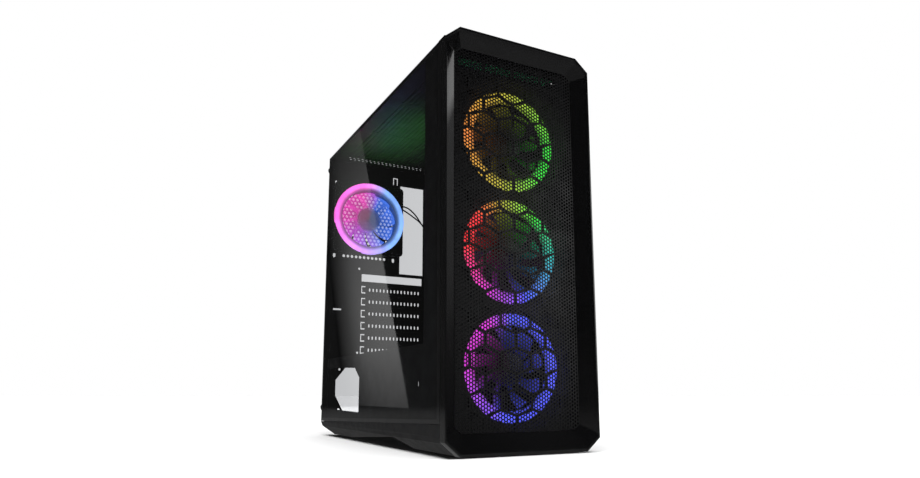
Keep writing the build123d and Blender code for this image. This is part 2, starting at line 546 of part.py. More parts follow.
# ---------------------------------------------------------------- fans
def make_fan(name, x, z, front_depth):
    """Frame, motor mount, diffuser ring, stator and rotor of one fan; its intake face looks forward."""
    back_depth = front_depth + FAN_DEPTH
    centre_y = y_at(front_depth + FAN_DEPTH / 2)
    with BuildPart() as frame:
        with BuildSketch(wall_plane(back_depth)):
            with Locations((x, z)):
                RectangleRounded(FAN_SIZE, FAN_SIZE, 6)
        extrude(amount=FAN_DEPTH)
        rod_y(x, z, FAN_BORE_R, (front_depth - 1, back_depth + 1), Mode.SUBTRACT)
        rod_y(x, z, RING_OUTER_R + 0.2, (front_depth - 1, front_depth + RING_THICK), Mode.SUBTRACT)
        # waist between the two flanges, with round screw posts left in the corners
        with BuildSketch(wall_plane(back_depth - 4)):
            with Locations((x, z)):
                Rectangle(FAN_SIZE + 4, FAN_SIZE + 4)
                Circle(FAN_BORE_R + 4, mode=Mode.SUBTRACT)
            for dx, dz in FAN_CORNERS:
                with Locations((x + dx, z + dz)):
                    Circle(4.6, mode=Mode.SUBTRACT)
        extrude(amount=FAN_DEPTH - 4 - RING_THICK - 3, mode=Mode.SUBTRACT)
        for dx, dz in FAN_CORNERS:
            rod_y(x + dx, z + dz, FAN_SCREW_HOLE_R, (front_depth - 1, back_depth + 1), Mode.SUBTRACT)
    keep(frame, f"{name}_frame")
    # motor base on four struts that reach the bore, with the bearing tube
    with BuildPart() as mount:
        with BuildSketch(wall_plane(back_depth - 0.5)):
            with Locations((x, z)):
                with PolarLocations(35.5, 4, start_angle=45):
                    Rectangle(33, 4)
                Circle(FAN_BORE_R, mode=Mode.INTERSECT)
        extrude(amount=4)
        rod_y(x, z, HUB_R, (back_depth - 4.5, back_depth - 0.5))
        rod_y(x, z, 4.0, (front_depth + 6.5, back_depth - 4.5))
        rod_y(x, z, 1.55, (front_depth + 6, back_depth + 1), Mode.SUBTRACT)
    keep(mount, f"{name}_motor_mount")
    with BuildPart() as ring:
        rod_y(x, z, RING_OUTER_R, (front_depth, front_depth + RING_THICK))
        rod_y(x, z, RING_INNER_R, (front_depth - 1, front_depth + RING_THICK + 1), Mode.SUBTRACT)
    keep(ring, f"{name}_light_ring")
    with BuildPart() as stator:
        rod_y(x, z, 15.5, (front_depth + 8, front_depth + 17))
        rod_y(x, z, 4.1, (front_depth + 7, front_depth + 18), Mode.SUBTRACT)
    keep(stator, f"{name}_stator")
    with BuildPart() as rotor:
        rod_y(x, z, HUB_R, (front_depth + 3, front_depth + 18))
        rod_y(x, z, HUB_R - 1.6, (front_depth + 4.6, front_depth + 19), Mode.SUBTRACT)
        rod_y(x, z, 1.5, (front_depth + 4, back_depth - 2))
        centre = Vector(x, centre_y - 1.5, z)
        for blade in range(BLADES):
            angle = math.radians(360 / BLADES * blade)
            outward = Vector(math.cos(angle), 0, math.sin(angle))
            for radius, chord, pitch in ((HUB_R - 0.8, 13.0, 44.0), (BLADE_TIP_R, 22.0, 24.0)):
                turn = math.radians(pitch)
                sideways = Vector(-math.sin(angle), 0, math.cos(angle))
                along = sideways * math.cos(turn) + Vector(0, 1, 0) * math.sin(turn)
                with BuildSketch(Plane(origin=centre + outward * radius, x_dir=along, z_dir=outward)):
                    Rectangle(chord, 1.6)
            loft()
    keep(rotor, f"{name}_rotor")


for fan_name, fan_z in zip(FAN_NAMES, FRONT_FAN_Z):
    make_fan(f"{fan_name}_fan", 0.0, fan_z, PLATE_DEPTH + SHEET)
make_fan("rear_fan", REAR_FAN_X, REAR_FAN_Z, REAR_INNER_DEPTH - FAN_DEPTH)

FAN_SCREW_LENGTH = 13.0
with BuildPart() as fan_screws:
    for dx, dz in FAN_CORNERS:
        for fan_z in FRONT_FAN_Z:
            rod_y(dx, fan_z + dz, SCREW_HEAD_R, (PLATE_DEPTH - SCREW_HEAD_HEIGHT, PLATE_DEPTH))
            rod_y(dx, fan_z + dz, 1.9, (PLATE_DEPTH, PLATE_DEPTH + FAN_SCREW_LENGTH))
        rod_y(REAR_FAN_X + dx, REAR_FAN_Z + dz, SCREW_HEAD_R,
              (REAR_OUTER_DEPTH, REAR_OUTER_DEPTH + SCREW_HEAD_HEIGHT))
        rod_y(REAR_FAN_X + dx, REAR_FAN_Z + dz, 1.9,
              (REAR_OUTER_DEPTH - FAN_SCREW_LENGTH, REAR_OUTER_DEPTH))
keep(fan_screws, "fan_screws")

# two leads from the rear fan to the tray
LEAD_R = 1.2


def bend_radii(points):
    """Largest tangent arcs that the corners between straight runs allow, with a little run left."""
    radii = []
    for before, corner, after in zip(points, points[1:], points[2:]):
        first = Vector(*corner) - Vector(*before)
        second = Vector(*after) - Vector(*corner)
        turn = math.radians(first.get_angle(second))
        radii.append(0.45 * min(first.length, second.length) / math.tan(turn / 2))
    return radii


FAN_RIGHT_X = REAR_FAN_X + FAN_SIZE / 2
POWER_LEAD = [
    (FAN_RIGHT_X + 0.1, y_at(430), 388.0),
    (FAN_RIGHT_X + 13, y_at(429.5), 386.0),
    (FAN_RIGHT_X + 26, y_at(428), 375.5),
    (FAN_RIGHT_X + 37, y_at(427), 360.0),
    (FAN_RIGHT_X + 46, y_at(426.5), 347.5),
    (TRAY_X + 3, y_at(426.5), 342.5),
]
LIGHT_LEAD = [
    (FAN_RIGHT_X + 0.1, y_at(434), 385.0),
    (FAN_RIGHT_X + 12, y_at(434), 379.5),
    (FAN_RIGHT_X + 25, y_at(432), 371.0),
    (FAN_RIGHT_X + 36, y_at(430.5), 363.5),
    (FAN_RIGHT_X + 46, y_at(429.5), 351.5),
    (TRAY_X + 3, y_at(429.5), 345.5),
]
with BuildPart() as fan_leads:
    for lead_points in (POWER_LEAD, LIGHT_LEAD):
        with BuildLine() as path:
            FilletPolyline(*lead_points, radius=bend_radii(lead_points))
        route = path.wires()[0]
        with BuildSketch(Plane(origin=route @ 0, z_dir=route % 0)):
            Circle(LEAD_R)
        sweep(path=route)
        print("lead length", round(route.length, 1))
keep(fan_leads, "fan_leads")

# light and fan controller, on the hidden side of the tray
with BuildPart() as fan_controller:
    depth_block((TRAY_X + SHEET, TRAY_X + SHEET + 10), (215, 285), (300, 350))
    fillet(fan_controller.edges().filter_by(Axis.X), 4)
keep(fan_controller, "fan_controller")

# ---------------------------------------------------------------- drive cage and sleds
CAGE_DEPTHS = (100.0, 207.0)
CAGE_X = (-72.0, 79.0)
CAGE_TOP = 116.0
SLED_FLOORS = (30.0, 70.0)
with BuildPart() as drive_cage:
    for depths in ((CAGE_DEPTHS[0], CAGE_DEPTHS[0] + SHEET), (CAGE_DEPTHS[1] - SHEET, CAGE_DEPTHS[1])):
        depth_block(CAGE_X, depths, (FLOOR_TOP, CAGE_TOP))
        for low in (34.0, 74.0):
            depth_block((-58, 62), (depths[0] - 1, depths[1] + 1), (low, low + 30), Mode.SUBTRACT)
    depth_block(CAGE_X, CAGE_DEPTHS, (CAGE_TOP, CAGE_TOP + SHEET))
    for floor in SLED_FLOORS:
        depth_block(CAGE_X, (CAGE_DEPTHS[0] + SHEET, CAGE_DEPTHS[0] + 5), (floor - 1.4, floor - 0.4))
        depth_block(CAGE_X, (CAGE_DEPTHS[1] - 5, CAGE_DEPTHS[1] - SHEET), (floor - 1.4, floor - 0.4))
keep(drive_cage, "drive_cage")

for sled_name, floor in zip(("lower", "upper"), SLED_FLOORS):
    with BuildPart() as drive_sled:
        sled_depths = (CAGE_DEPTHS[0] + SHEET + 0.5, CAGE_DEPTHS[1] - SHEET - 0.5)
        depth_block((CAGE_X[0], CAGE_X[1]), sled_depths, (floor, floor + 2))
        depth_block((CAGE_X[0] + 8, CAGE_X[1] - 20), (sled_depths[0] + 14, sled_depths[1] - 14),
                    (floor - 1, floor + 3), Mode.SUBTRACT)
        for depths in ((sled_depths[0], sled_depths[0] + 2), (sled_depths[1] - 2, sled_depths[1])):
            depth_block(CAGE_X, depths, (floor, floor + 5))
        depth_block((CAGE_X[1] - 3, CAGE_X[1]), sled_depths, (floor, floor + 24))
        depth_block((CAGE_X[1] - 5, CAGE_X[1] + 1), (sled_depths[0] + 30, sled_depths[1] - 30),
                    (floor + 8, floor + 18), Mode.SUBTRACT)
    keep(drive_sled, f"drive_sled_{sled_name}")

with BuildPart() as psu_pads:
    for x in (-78.0, 72.0):
        for depths in ((300, 340), (410, 436)):
            depth_block((x - 6, x + 6), depths, (FLOOR_TOP, FLOOR_TOP + 2))
keep(psu_pads, "psu_pads")

# ---------------------------------------------------------------- side panels and thumbscrews
PANEL_TOP = 460.0
PANEL_FRONT_DEPTH = 12.6
FLANGE_DEPTHS = (446.6, CASE_DEPTH)
PANEL_FRONT_LOW, PANEL_REAR_LOW = 34.3, 22.3
PANEL_OUTLINE = [(PANEL_FRONT_DEPTH, PANEL_FRONT_LOW), (PANEL_FRONT_DEPTH, PANEL_TOP),
                 (FLANGE_DEPTHS[0], PANEL_TOP), (FLANGE_DEPTHS[0], PANEL_REAR_LOW)]
GLASS = 3.5
FLANGE_INNER_X = 90.2
EAR_INNER_X = 84.0

with BuildPart() as glass_panel:
    with BuildSketch(side_plane(-HALF + GLASS)):
        Polygon(*side_points(PANEL_OUTLINE), align=None)
    extrude(amount=GLASS)
keep(glass_panel, "glass_panel")


def add_flange(sign):
    """Rear flange of a side panel: a narrow strip with an ear at each captive thumbscrew."""
    strip = sorted((sign * HALF, sign * FLANGE_INNER_X))
    ear = sorted((sign * HALF, sign * EAR_INNER_X))
    depth_block(tuple(strip), FLANGE_DEPTHS, (PANEL_REAR_LOW, PANEL_TOP))
    for z in THUMB_Z:
        depth_block(tuple(ear), FLANGE_DEPTHS, (z - 9, z + 9))
        rod_y(sign * THUMB_X, z, 2.0, (FLANGE_DEPTHS[0] - 2, FLANGE_DEPTHS[1] + 1), Mode.SUBTRACT)


with BuildPart() as glass_flange:
    add_flange(-1)
keep(glass_flange, "glass_flange")

with BuildPart() as right_panel:
    with BuildSketch(side_plane(HALF)):
        Polygon(*side_points(PANEL_OUTLINE), align=None)
    extrude(amount=SHEET)
    depth_block((HALF - 3.2, HALF), (PANEL_FRONT_DEPTH, PANEL_FRONT_DEPTH + SHEET),
                (PANEL_FRONT_LOW, PANEL_TOP))
    depth_block((HALF - 3.2, HALF), (PANEL_FRONT_DEPTH, FLANGE_DEPTHS[0]), (PANEL_TOP - SHEET, PANEL_TOP))
    add_flange(1)
keep(right_panel, "right_panel")

for panel_name, sign in (("glass", -1), ("right", 1)):
    for level_name, z in zip(("lower", "upper"), THUMB_Z):
        with BuildPart() as thumbscrew:
            rod_y(sign * THUMB_X, z, 6.2, (CASE_DEPTH + 0.2, TOTAL_DEPTH))
            fillet(thumbscrew.edges().filter_by(GeomType.CIRCLE), 0.8)
            rod_y(sign * THUMB_X, z, 1.7, (442.0, CASE_DEPTH + 1))
        keep(thumbscrew, f"{panel_name}_thumbscrew_{level_name}")

# ---------------------------------------------------------------- base rails, pads, filters
RAIL_INNER = 62.0
RAIL_TOP = FLOOR_TOP - SHEET
RAIL_FRONT_DEPTH = 12.4
SKIRT_INNER = 94.3
FILTER_HALF = 60.0
FILTER_DEPTHS = (292.0, 448.5)
# side profile: front foot, steep step, then a long gentle slope down to the rear foot
RAIL_PROFILE = [
    (RAIL_FRONT_DEPTH, PAD_HEIGHT),
    (124.0, PAD_HEIGHT),
    (150.0, 14.0),
    (354.0, PAD_HEIGHT),
    (442.0, PAD_HEIGHT),
    (CASE_DEPTH - 0.5, 12.0),
    (CASE_DEPTH - 0.5, PANEL_REAR_LOW - 0.4),
    (RAIL_FRONT_DEPTH, PANEL_FRONT_LOW - 0.4),
]
# end profile: the outer side leans in twice on its way down
RAIL_FACETS = [(HALF, 21.0), (95.5, 15.0), (77.0, PAD_HEIGHT), (77.0, -5.0), (HALF + 5, -5.0),
               (HALF + 5, 21.0)]

for rail_name, sign in (("left", -1), ("right", 1)):
    with BuildPart() as base_rail:
        with BuildSketch(side_plane(sign * (HALF + RAIL_INNER) / 2)):
            Polygon(*side_points(RAIL_PROFILE), align=None)
        extrude(amount=(HALF - RAIL_INNER) / 2, both=True)
        with BuildSketch(wall_plane(CASE_DEPTH + 1)):
            Polygon(*[(sign * x, z) for x, z in RAIL_FACETS], align=None)
        extrude(amount=CASE_DEPTH + 2, mode=Mode.SUBTRACT)
        inner = sorted((sign * (RAIL_INNER - 1), sign * SKIRT_INNER))
        depth_block(tuple(inner), (0, CASE_DEPTH + 2), (RAIL_TOP, 40), Mode.SUBTRACT)
        # keep clear of the rear flange of the side panel and of the bezel's collar
        clear = sorted((sign * 60, sign * (HALF + 1)))
        depth_block(tuple(clear), (FLANGE_DEPTHS[0] - 0.3, CASE_DEPTH + 1), (PANEL_REAR_LOW - 0.4, 30),
                    Mode.SUBTRACT)
        # ledge that carries the edge of the power supply's filter
        ledge = sorted((sign * (RAIL_INNER - 4.5), sign * (RAIL_INNER + 1)))
        depth_block(tuple(ledge), (300, 440), (14.9, 17.3))
        for depth in RAIL_SCREW_DEPTHS:
            with Locations((sign * RAIL_SCREW_X, y_at(depth), 15.0)):
                Cylinder(RAIL_SCREW_R + 0.05, 14, mode=Mode.SUBTRACT)
    keep(base_rail, f"base_rail_{rail_name}")

with BuildPart() as rail_screws:
    for x in (-RAIL_SCREW_X, RAIL_SCREW_X):
        for depth in RAIL_SCREW_DEPTHS:
            with Locations((x, y_at(depth), FLOOR_TOP + 1.1)):
                Cylinder(3.4, 2.2)
            with Locations((x, y_at(depth), FLOOR_TOP - 5)):
                Cylinder(RAIL_SCREW_R, 10)
keep(rail_screws, "rail_screws")

with BuildPart() as foot_pads:
    for x in (-69.5, 69.5):
        for depth in (52.0, 400.0):
            with BuildSketch(Plane.XY):
                with Locations((x, y_at(depth))):
                    RectangleRounded(12, 46, 5)
            extrude(amount=PAD_HEIGHT)
keep(foot_pads, "foot_pads")

with BuildPart() as psu_filter:
    depth_block((-FILTER_HALF, FILTER_HALF), FILTER_DEPTHS, (17.6, 20.3))
    for low, high in ((298, 362), (368, 436)):
        for x in ((-56, -2), (2, 56)):
            depth_block(x, (low, high), (18.3, 21), Mode.SUBTRACT)
keep(psu_filter, "psu_filter")

TOP_FILTER_X = (-80.0, 74.0)
TOP_FILTER_DEPTHS = (60.0, 419.0)
with BuildPart() as top_filter:
    depth_block(TOP_FILTER_X, TOP_FILTER_DEPTHS, (ROOF_TOP, ROOF_TOP + 2.2))
    depth_block((TOP_FILTER_X[0] + 6, TOP_FILTER_X[1] - 6),
                (TOP_FILTER_DEPTHS[0] + 6, TOP_FILTER_DEPTHS[1] - 6), (ROOF_TOP + 0.8, ROOF_TOP + 3),
                Mode.SUBTRACT)
keep(top_filter, "top_filter")
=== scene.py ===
"""Looks of an empty midi-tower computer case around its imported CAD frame.

The frame is in metres, +Z up, with the front facing -Y. A size given in millimetres is multiplied by MM, or is
an argument whose name ends in _mm. Positions come from the CAD boxes and from the fans' joints.
"""
import json
import math

import bpy
import bmesh
from mathutils import Matrix, Vector


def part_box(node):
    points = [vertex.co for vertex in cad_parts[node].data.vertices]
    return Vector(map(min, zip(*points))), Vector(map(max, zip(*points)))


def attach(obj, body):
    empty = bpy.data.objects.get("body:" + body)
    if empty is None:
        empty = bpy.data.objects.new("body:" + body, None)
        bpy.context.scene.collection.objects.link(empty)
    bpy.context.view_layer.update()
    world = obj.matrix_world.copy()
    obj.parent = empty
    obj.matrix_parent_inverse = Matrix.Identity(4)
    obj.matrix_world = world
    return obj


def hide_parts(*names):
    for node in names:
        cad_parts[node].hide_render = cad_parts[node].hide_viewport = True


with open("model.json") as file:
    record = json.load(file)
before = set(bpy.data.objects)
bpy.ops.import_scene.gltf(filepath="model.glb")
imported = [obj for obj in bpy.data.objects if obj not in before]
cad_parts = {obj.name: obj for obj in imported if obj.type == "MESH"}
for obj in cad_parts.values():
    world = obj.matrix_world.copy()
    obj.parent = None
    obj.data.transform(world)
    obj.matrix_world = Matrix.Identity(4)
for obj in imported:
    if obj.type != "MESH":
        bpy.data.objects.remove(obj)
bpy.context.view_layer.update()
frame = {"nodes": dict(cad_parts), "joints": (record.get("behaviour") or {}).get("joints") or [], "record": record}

NODES = frame["nodes"]
SLOT_OF = {part["node"]: part["material_slot"] for part in frame["record"]["subparts"]}
MM = 0.001
FANS = ("lower_fan", "middle_fan", "upper_fan", "rear_fan")

CAMERA_PLACE = (-0.3981, -0.8416, 0.066)
CAMERA_YAW, CAMERA_PITCH = 27.09, 9.67  # degrees: to the right of +Y, and upwards
CAMERA_LENS = 25.94
CAMERA_SHIFT = (0.0042, 0.0446)
REFLECTED_WORLD = 0.022  # how bright gloss sees the white surroundings
FLOOR_RADIUS = 14.0


def fan_axis(fan):
    """Point on a fan's axis, from its joint."""
    for joint in frame["joints"]:
        if joint["name"] == f"{fan}_spin":
            return Vector(joint["pos_m"])
    raise ValueError(f"no joint for {fan}")


# ---------------------------------------------------------------- camera and studio
def make_camera():
    data = bpy.data.cameras.new("camera")
    data.lens = CAMERA_LENS
    data.shift_x, data.shift_y = CAMERA_SHIFT
    data.clip_start = 0.01
    data.clip_end = 100
    camera = bpy.data.objects.new("camera", data)
    bpy.context.scene.collection.objects.link(camera)
    yaw, pitch = math.radians(CAMERA_YAW), math.radians(CAMERA_PITCH)
    forward = Vector((math.sin(yaw) * math.cos(pitch), math.cos(yaw) * math.cos(pitch), math.sin(pitch)))
    camera.location = CAMERA_PLACE
    camera.rotation_mode = "QUATERNION"
    camera.rotation_quaternion = forward.to_track_quat("-Z", "Y")
    bpy.context.scene.camera = camera


def new_material(name):
    material = bpy.data.materials.new(name)
    material.use_nodes = True
    material.node_tree.nodes.clear()
    return material


def make_world():
    """White where it is seen directly or through glass, nearly black in reflections."""
    world = bpy.data.worlds.new("studio")
    bpy.context.scene.world = world
    world.use_nodes = True
    tree = world.node_tree
    tree.nodes.clear()
    path = tree.nodes.new("ShaderNodeLightPath")
    seen = tree.nodes.new("ShaderNodeMath")
    seen.operation = "MAXIMUM"
    tree.links.new(path.outputs["Is Camera Ray"], seen.inputs[0])
    tree.links.new(path.outputs["Is Transmission Ray"], seen.inputs[1])
    level = tree.nodes.new("ShaderNodeMapRange")
    tree.links.new(seen.outputs[0], level.inputs["Value"])
    level.inputs["To Min"].default_value = REFLECTED_WORLD
    level.inputs["To Max"].default_value = 1.0
    background = tree.nodes.new("ShaderNodeBackground")
    background.inputs["Color"].default_value = (1.0, 1.0, 1.0, 1.0)
    tree.links.new(level.outputs["Result"], background.inputs["Strength"])
    output = tree.nodes.new("ShaderNodeOutputWorld")
    tree.links.new(background.outputs[0], output.inputs["Surface"])


def make_floor():
    """White floor. Reflections see a dim disc just under it instead, so that gloss stays black."""
    for name, height in (("floor", 0.0), ("floor_in_reflections", -0.002)):
        mesh = bpy.data.meshes.new(name)
        floor = bpy.data.objects.new(name, mesh)
        bpy.context.scene.collection.objects.link(floor)
        shape = bmesh.new()
        bmesh.ops.create_circle(shape, cap_ends=True, radius=FLOOR_RADIUS, segments=96,
                                matrix=Matrix.Translation((0.0, 0.0, height)))
        shape.to_mesh(mesh)
        shape.free()
        if name == "floor":
            material = new_material("pale_floor")
            tree = material.node_tree
            shader = tree.nodes.new("ShaderNodeBsdfDiffuse")
            shader.inputs["Color"].default_value = (0.86, 0.86, 0.86, 1.0)
            output = tree.nodes.new("ShaderNodeOutputMaterial")
            tree.links.new(shader.outputs[0], output.inputs["Surface"])
            mesh.materials.append(material)
            floor.visible_glossy = False
        else:
            mesh.materials.append(fading_glow("dim_floor", 0.16, 0.5, 2.6, 0.02))
            only_in_reflections(floor)


def only_in_reflections(obj):
    obj.visible_camera = False
    obj.visible_diffuse = False
    obj.visible_transmission = False
    obj.visible_volume_scatter = False
    obj.visible_shadow = False


def glow_material(name, strength, attribute=None):
    """Plain emission, scaled by a mesh attribute where one is named."""
    material = new_material(name)
    tree = material.node_tree
    shader = tree.nodes.new("ShaderNodeEmission")
    shader.inputs["Strength"].default_value = strength
    if attribute:
        level = tree.nodes.new("ShaderNodeAttribute")
        level.attribute_name = attribute
        tree.links.new(level.outputs["Color"], shader.inputs["Color"])
    output = tree.nodes.new("ShaderNodeOutputMaterial")
    tree.links.new(shader.outputs[0], output.inputs["Surface"])
    return material


def fading_glow(name, strength, near, far, level_far):
    """Emission that falls from strength to level_far between two distances from the origin."""
    material = glow_material(name, strength)
    tree = material.node_tree
    place = tree.nodes.new("ShaderNodeTexCoord")
    length = tree.nodes.new("ShaderNodeVectorMath")
    length.operation = "LENGTH"
    tree.links.new(place.outputs["Object"], length.inputs[0])
    level = tree.nodes.new("ShaderNodeMapRange")
    level.inputs["From Min"].default_value = near
    level.inputs["From Max"].default_value = far
    level.inputs["To Min"].default_value = strength
    level.inputs["To Max"].default_value = level_far
    tree.links.new(length.outputs["Value"], level.inputs["Value"])
    emission = next(n for n in tree.nodes if n.type == "EMISSION")
    tree.links.new(level.outputs["Result"], emission.inputs["Strength"])
    return material


def add_card(name, left, right, strength, across, up, one_sided=False):
    """A card that only reflections see, between two polylines, brighter or dimmer by two lists of levels:
    across from the left line to the right one, and up along the lines."""
    mesh = bpy.data.meshes.new(name)
    columns = 12
    points, levels, faces = [], [], []
    for j, (first, second) in enumerate(zip(left, right)):
        for i in range(columns + 1):
            t = i / columns
            points.append(Vector(first).lerp(Vector(second), t))
            place = t * (len(across) - 1)
            k = min(int(place), len(across) - 2)
            levels.append((across[k] + (across[k + 1] - across[k]) * (place - k)) * up[j])
    for j in range(len(left) - 1):
        for i in range(columns):
            a = j * (columns + 1) + i
            faces.append((a, a + 1, a + columns + 2, a + columns + 1))
    mesh.from_pydata(points, [], faces)
    level = mesh.color_attributes.new("level", "FLOAT_COLOR", "POINT")
    for item, value in zip(level.data, levels):
        item.color = (value, value, value, 1.0)
    material = glow_material(name, strength, "level")
    if one_sided:
        tree = material.node_tree
        facing = tree.nodes.new("ShaderNodeNewGeometry")
        clear = tree.nodes.new("ShaderNodeBsdfTransparent")
        mix = tree.nodes.new("ShaderNodeMixShader")
        emission = next(n for n in tree.nodes if n.type == "EMISSION")
        output = next(n for n in tree.nodes if n.type == "OUTPUT_MATERIAL")
        tree.links.new(facing.outputs["Backfacing"], mix.inputs[0])
        tree.links.new(emission.outputs[0], mix.inputs[1])
        tree.links.new(clear.outputs[0], mix.inputs[2])
        tree.links.new(mix.outputs[0], output.inputs["Surface"])
    mesh.materials.append(material)
    card = bpy.data.objects.new(name, mesh)
    bpy.context.scene.collection.objects.link(card)
    only_in_reflections(card)


def add_lamp(name, kind, direction, power):
    """A lamp that shines along a direction. Gloss sees the cards instead of it."""
    data = bpy.data.lights.new(name, kind)
    data.energy = power
    lamp = bpy.data.objects.new(name, data)
    bpy.context.scene.collection.objects.link(lamp)
    lamp.rotation_mode = "QUATERNION"
    lamp.rotation_quaternion = Vector(direction).to_track_quat("-Z", "Y")
    lamp.visible_glossy = False
    return lamp


def add_sun(name, direction, strength, spread):
    add_lamp(name, "SUN", direction, strength).data.angle = math.radians(spread)


def add_softbox(name, place, target, size, power, color=(1.0, 1.0, 1.0)):
    lamp = add_lamp(name, "AREA", Vector(target) - Vector(place), power)
    lamp.data.shape = "RECTANGLE"
    lamp.data.size, lamp.data.size_y = size
    lamp.data.color = color
    lamp.location = place
    return lamp


def add_roof_glow(color, power):
    """Light from the upper fan that the roof catches: a small lamp under the roof, itself unseen."""
    roof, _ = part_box("top_filter")
    x, y = -0.03, roof.y + 0.24
    lamp = add_softbox("roof_glow", (x, y, roof.z - 0.13), (x, y, roof.z), (0.08, 0.18), power, color)
    lamp.data.spread = math.radians(70)
    lamp.visible_camera = False
    lamp.visible_transmission = False


# ---------------------------------------------------------------- materials
class Finish:
    """A procedural material around one Principled shader, in frame coordinates."""

    def __init__(self, name, color, rough, metal=0.0, **sockets):
        self.material = new_material(name)
        self.tree = self.material.node_tree
        self.shader = self.tree.nodes.new("ShaderNodeBsdfPrincipled")
        self.output = self.tree.nodes.new("ShaderNodeOutputMaterial")
        self.tree.links.new(self.shader.outputs[0], self.output.inputs["Surface"])
        self.shader.inputs["Base Color"].default_value = (*color, 1.0)
        self.shader.inputs["Roughness"].default_value = rough
        self.shader.inputs["Metallic"].default_value = metal
        for key, value in sockets.items():
            self.shader.inputs[key.replace("_", " ")].default_value = value
        self.place = self.tree.nodes.new("ShaderNodeTexCoord").outputs["Object"]
        self.height = None

    def node(self, kind, **settings):
        made = self.tree.nodes.new(kind)
        for key, value in settings.items():
            setattr(made, key, value)
        return made

    def link(self, source, target):
        self.tree.links.new(source, target)

    def stretched(self, scale):
        """Frame coordinates scaled along each axis."""
        mapping = self.node("ShaderNodeMapping")
        mapping.inputs["Scale"].default_value = scale
        self.link(self.place, mapping.inputs["Vector"])
        return mapping.outputs[0]

    def noise(self, scale, detail, vector=None):
        made = self.node("ShaderNodeTexNoise")
        made.inputs["Scale"].default_value = scale
        made.inputs["Detail"].default_value = detail
        made.inputs["Roughness"].default_value = 0.55
        self.link(vector or self.place, made.inputs["Vector"])
        return made.outputs["Fac"]

    def span(self, value, low, high, start=0.0, end=1.0):
        made = self.node("ShaderNodeMapRange")
        made.inputs["From Min"].default_value = start
        made.inputs["From Max"].default_value = end
        made.inputs["To Min"].default_value = low
        made.inputs["To Max"].default_value = high
        self.link(value, made.inputs["Value"])
        return made.outputs[0]

    def ramp(self, value, stops):
        made = self.node("ShaderNodeValToRGB")
        ramp = made.color_ramp
        while len(ramp.elements) < len(stops):
            ramp.elements.new(0.5)
        for element, (position, color) in zip(ramp.elements, stops):
            element.position = position
            element.color = (*color, 1.0)
        self.link(value, made.inputs[0])
        return made.outputs[0]

    def color(self, value, first, second, start=0.3, end=0.7):
        self.link(self.ramp(value, [(start, first), (end, second)]), self.shader.inputs["Base Color"])
        return self

    def roughness(self, value, low, high, start=0.3, end=0.7):
        self.link(self.span(value, low, high, start, end), self.shader.inputs["Roughness"])
        return self

    def bump(self, value, depth_mm, strength):
        made = self.node("ShaderNodeBump")
        made.inputs["Strength"].default_value = strength
        made.inputs["Distance"].default_value = depth_mm * MM
        self.link(value, made.inputs["Height"])
        if self.height:
            self.link(self.height, made.inputs["Normal"])
        self.height = made.outputs[0]
        self.link(self.height, self.shader.inputs["Normal"])
        return self


def powder_coat(name, dark, light):
    """Sheet steel under a fine-grained powder coat, with faint handling marks."""
    finish = Finish(name, dark, 0.42, Specular_IOR_Level=0.45)
    finish.color(finish.noise(350, 4), dark, light)
    finish.roughness(finish.noise(45, 5), 0.42, 0.56)
    finish.bump(finish.noise(2600, 2), 0.03, 0.35)
    finish.bump(finish.noise(14, 2), 0.15, 0.25)
    return finish.material


def moulded(name, dark, light, rough=(0.38, 0.5), grain_mm=0.04):
    """Moulded plastic with a spark-eroded grain."""
    finish = Finish(name, dark, rough[0])
    finish.color(finish.noise(30, 3), dark, light)
    finish.roughness(finish.noise(90, 4), *rough)
    finish.bump(finish.noise(1500, 3), grain_mm, 0.4)
    return finish.material


def piano_black():
    """High-gloss plastic: a deep coat, a faint moulding ripple and fine wipe marks."""
    finish = Finish("gloss_black_plastic", (0.004, 0.004, 0.0045), 0.12, Coat_Weight=0.6,
                    Coat_Roughness=0.05)
    finish.color(finish.noise(9, 3), (0.0016, 0.0016, 0.0018), (0.003, 0.003, 0.0033))
    wipes = finish.noise(220, 6, finish.stretched((1.0, 1.0, 0.06)))
    finish.roughness(wipes, 0.09, 0.2)
    finish.bump(finish.noise(26, 1), 0.06, 0.12)
    return finish.material


def mesh_steel():
    """Fine perforated sheet: satin black with a slight vertical brushing."""
    finish = Finish("perforated_steel", (0.003, 0.003, 0.0032), 0.38, Specular_IOR_Level=0.4)
    brush = finish.noise(900, 3, finish.stretched((1.0, 1.0, 0.02)))
    finish.color(brush, (0.0018, 0.0018, 0.002), (0.0045, 0.0045, 0.005))
    finish.roughness(finish.noise(40, 3), 0.3, 0.44)
    finish.bump(brush, 0.02, 0.3)
    return finish.material


